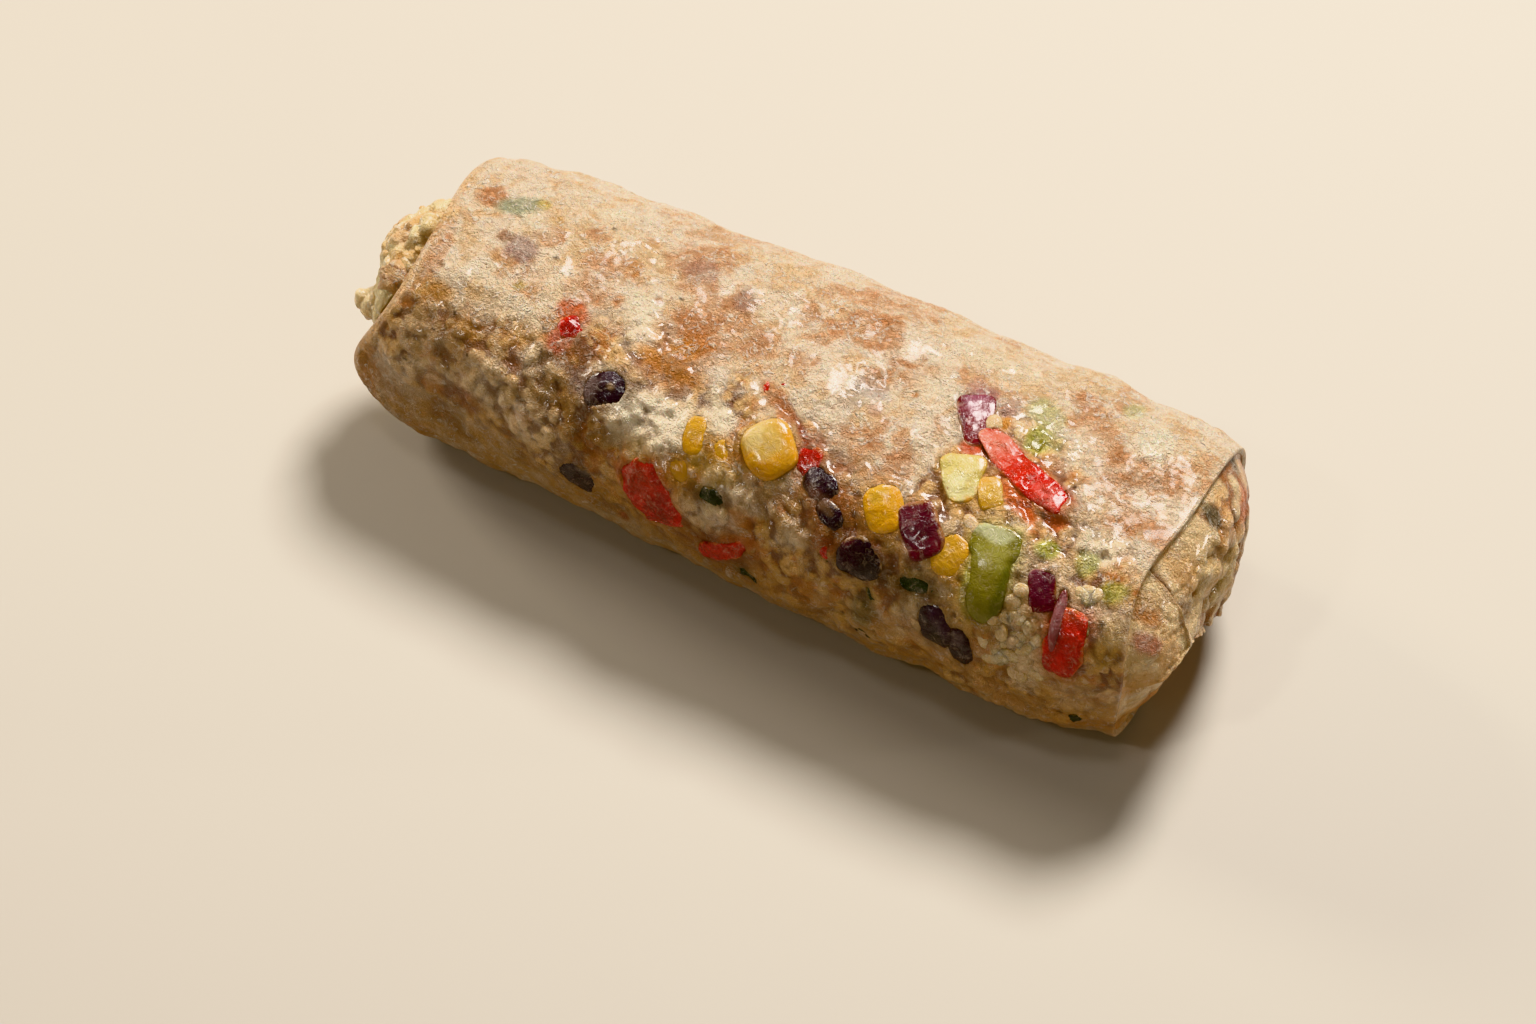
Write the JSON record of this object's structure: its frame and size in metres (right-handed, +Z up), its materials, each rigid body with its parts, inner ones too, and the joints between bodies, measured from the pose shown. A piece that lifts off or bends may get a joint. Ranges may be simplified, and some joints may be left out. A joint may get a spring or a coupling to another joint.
{
  "type": "burrito",
  "caption": "Grilled burrito: a flour tortilla rolled round rice, black beans, corn, peppers, onion and avocado, folded shut at one end and open at the other.",
  "frame": {"origin": "under the middle of the roll, on the surface it rests on", "axes": "+X along the roll from its open end to its folded end, -Y its front, +Z up"},
  "size_m": [0.1895, 0.0721, 0.053],
  "materials": {
    "tortilla": "toasted flour tortilla: cream to golden tan with soft brown patches, thin and damp over the filling along the front",
    "filling": "cooked rice, moist",
    "corn": "wet yellow corn",
    "yellow_pepper": "wet yellow pepper, pale where it is thin",
    "red_pepper": "wet red pepper",
    "onion": "wet purple onion",
    "avocado": "soft green avocado, moist",
    "bean": "wet black bean",
    "herb": "dark chopped herb leaf"
  },
  "bodies": {
    "root": {"tortilla": "tortilla", "filling": "filling", "onion_sliver": "onion", "onion_right": "onion", "red_pepper_dice_right": "red_pepper", "corn_kernel_large": "corn", "corn_kernel_middle": "corn", "corn_kernel_small": "corn", "corn_kernel_low": "corn", "onion_dark": "onion", "yellow_pepper_bright": "yellow_pepper", "yellow_pepper_lower": "yellow_pepper", "pale_pepper_wedge": "yellow_pepper", "yellow_pepper_small": "yellow_pepper", "red_pepper_strip": "red_pepper", "avocado": "avocado", "onion_magenta": "onion", "red_pepper_dice_left": "red_pepper", "red_pepper_low": "red_pepper", "red_pepper_dark": "red_pepper", "red_pepper_bit": "red_pepper", "black_bean_veiled": "bean", "black_bean_left": "bean", "black_bean_split": "bean", "black_bean_dark": "bean", "black_bean_right": "bean", "herb_leaf_right": "herb", "herb_leaf_left": "herb", "herb_leaf_low": "herb"}
  },
  "joints": []
}
